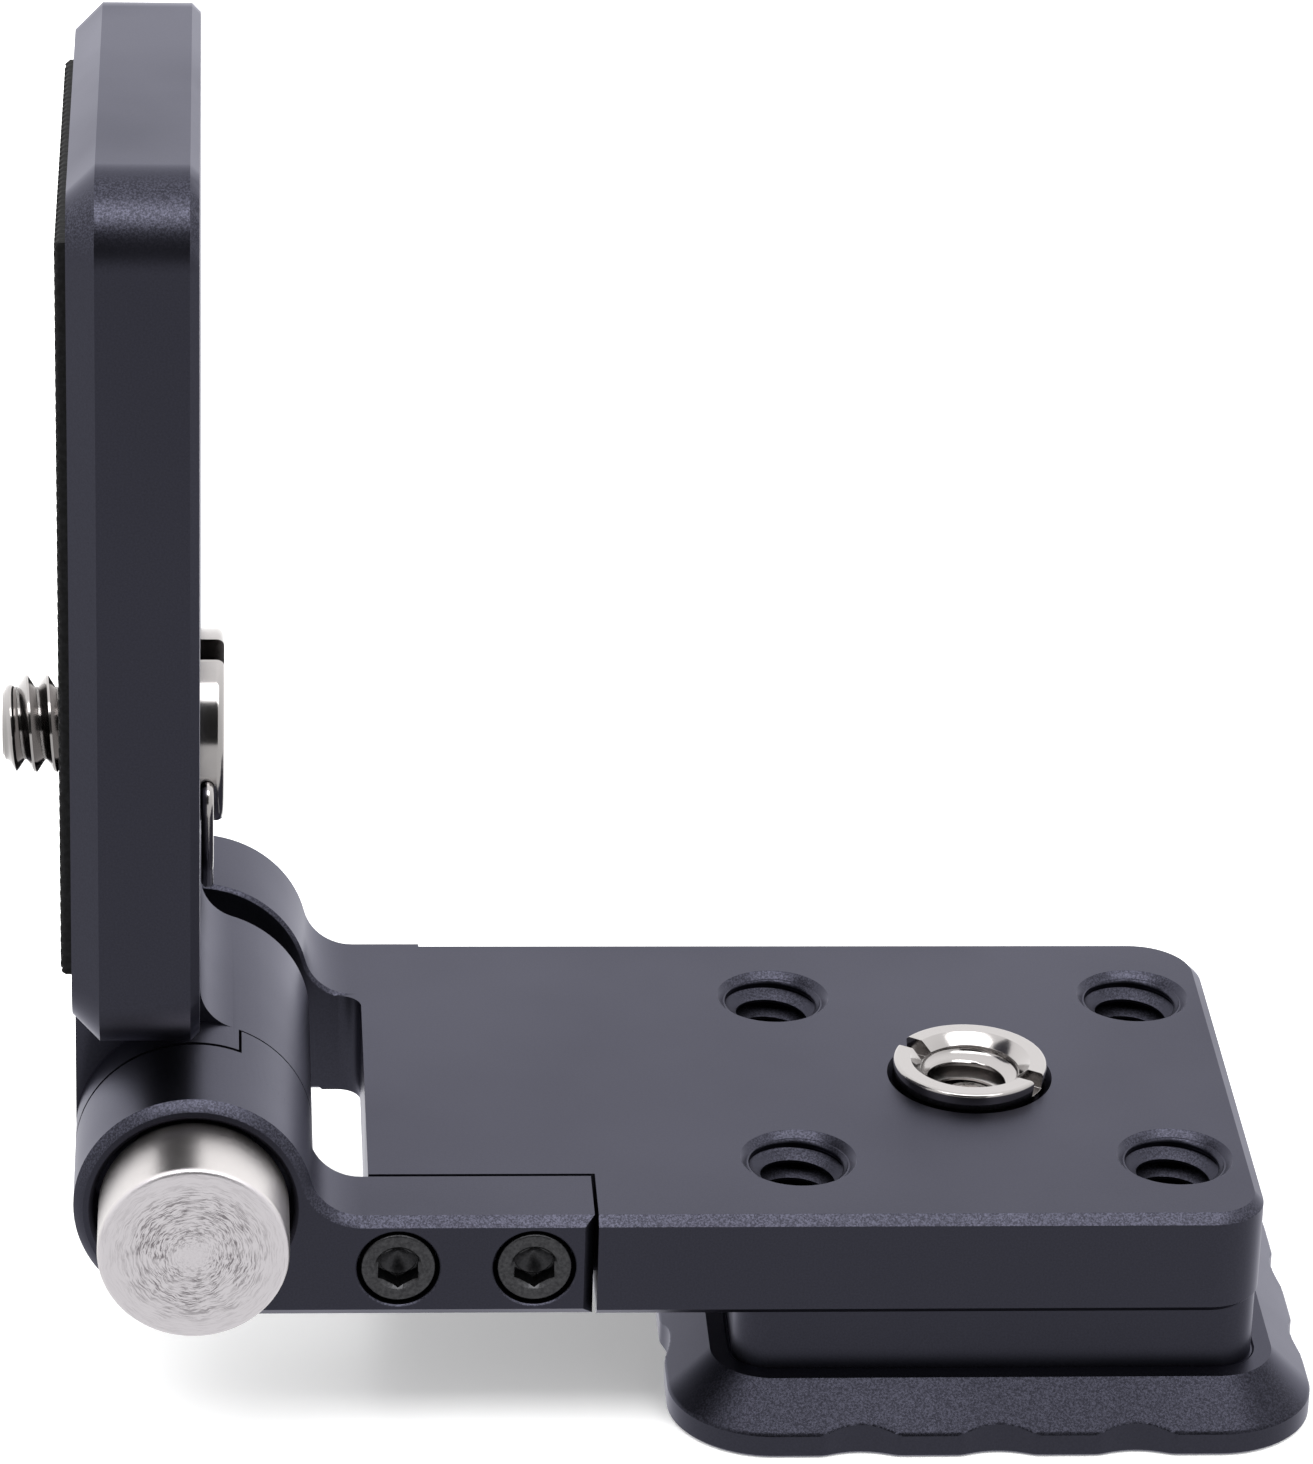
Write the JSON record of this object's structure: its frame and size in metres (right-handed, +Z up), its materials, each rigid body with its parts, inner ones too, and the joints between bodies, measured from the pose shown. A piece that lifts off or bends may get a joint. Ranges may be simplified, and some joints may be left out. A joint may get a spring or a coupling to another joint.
{
  "type": "folding camera bracket",
  "caption": "Folding L bracket for a camera: upright plate with captive screw on a push-button locking hinge, drilled base plate and square quick-release foot.",
  "frame": {"origin": "middle of the bounding box's bottom face, which is the plane of the quick-release foot's underside", "axes": "+X along the base plate away from the hinge, +Z up the camera plate, +Y along the hinge axis away from the push button"},
  "size_m": [0.0834, 0.0452, 0.084],
  "materials": {
    "anodised_aluminium": "bead-blasted, black anodised",
    "rubber_pad": "matt textured",
    "nickel_plate": "polished nickel plate",
    "stainless_steel": "turned",
    "black_oxide_steel": "black oxide",
    "spring_steel": "drawn wire"
  },
  "bodies": {
    "base": {"base_plate": "anodised_aluminium", "front_arm": "anodised_aluminium", "arm_screw_inner": "black_oxide_steel", "arm_screw_outer": "black_oxide_steel", "reducing_bushing": "nickel_plate", "foot_plate": "anodised_aluminium", "foot_washer": "stainless_steel", "foot_dowel_left": "stainless_steel", "foot_dowel_right": "stainless_steel", "pivot_pin": "stainless_steel", "thrust_washer_inner": "black_oxide_steel", "thrust_washer_outer": "black_oxide_steel", "hinge_plug": "black_oxide_steel"},
    "upright": {"camera_plate": "anodised_aluminium", "grip_pad": "rubber_pad", "screw_clip": "spring_steel"},
    "lock": {"release_button": "stainless_steel", "lock_star": "stainless_steel", "star_screw": "black_oxide_steel", "return_spring": "spring_steel"},
    "camera_screw": {"camera_screw": "nickel_plate"},
    "d_ring": {"d_ring": "nickel_plate"},
    "foot_screw": {"foot_screw": "stainless_steel"}
  },
  "joints": [
    {"name": "fold", "type": "hinge", "parent": "base", "child": "upright", "pos_m": [-0.0297, 0.00198, 0.01715], "axis": [0, -1, 0], "range_deg": [0, 90]},
    {"name": "press", "type": "slide", "parent": "upright", "child": "lock", "axis": [0, 1, 0], "range_m": [0, 0.004], "stiffness_N_per_m": 900, "springref_m": -0.003, "deforming": ["return_spring"]},
    {"name": "camera_screw_turn", "type": "hinge", "parent": "upright", "child": "camera_screw", "pos_m": [-0.0297, 0.00198, 0.0415], "axis": [1, 0, 0], "continuous": true},
    {"name": "d_ring_fold", "type": "hinge", "parent": "camera_screw", "child": "d_ring", "pos_m": [-0.0289, 0.00198, 0.0415], "axis": [0, -0.9659, -0.2588], "range_deg": [0, 90]},
    {"name": "foot_screw_turn", "type": "hinge", "parent": "base", "child": "foot_screw", "pos_m": [0.0205, 0.00198, 0.0094], "axis": [0, 0, 1], "continuous": true}
  ]
}
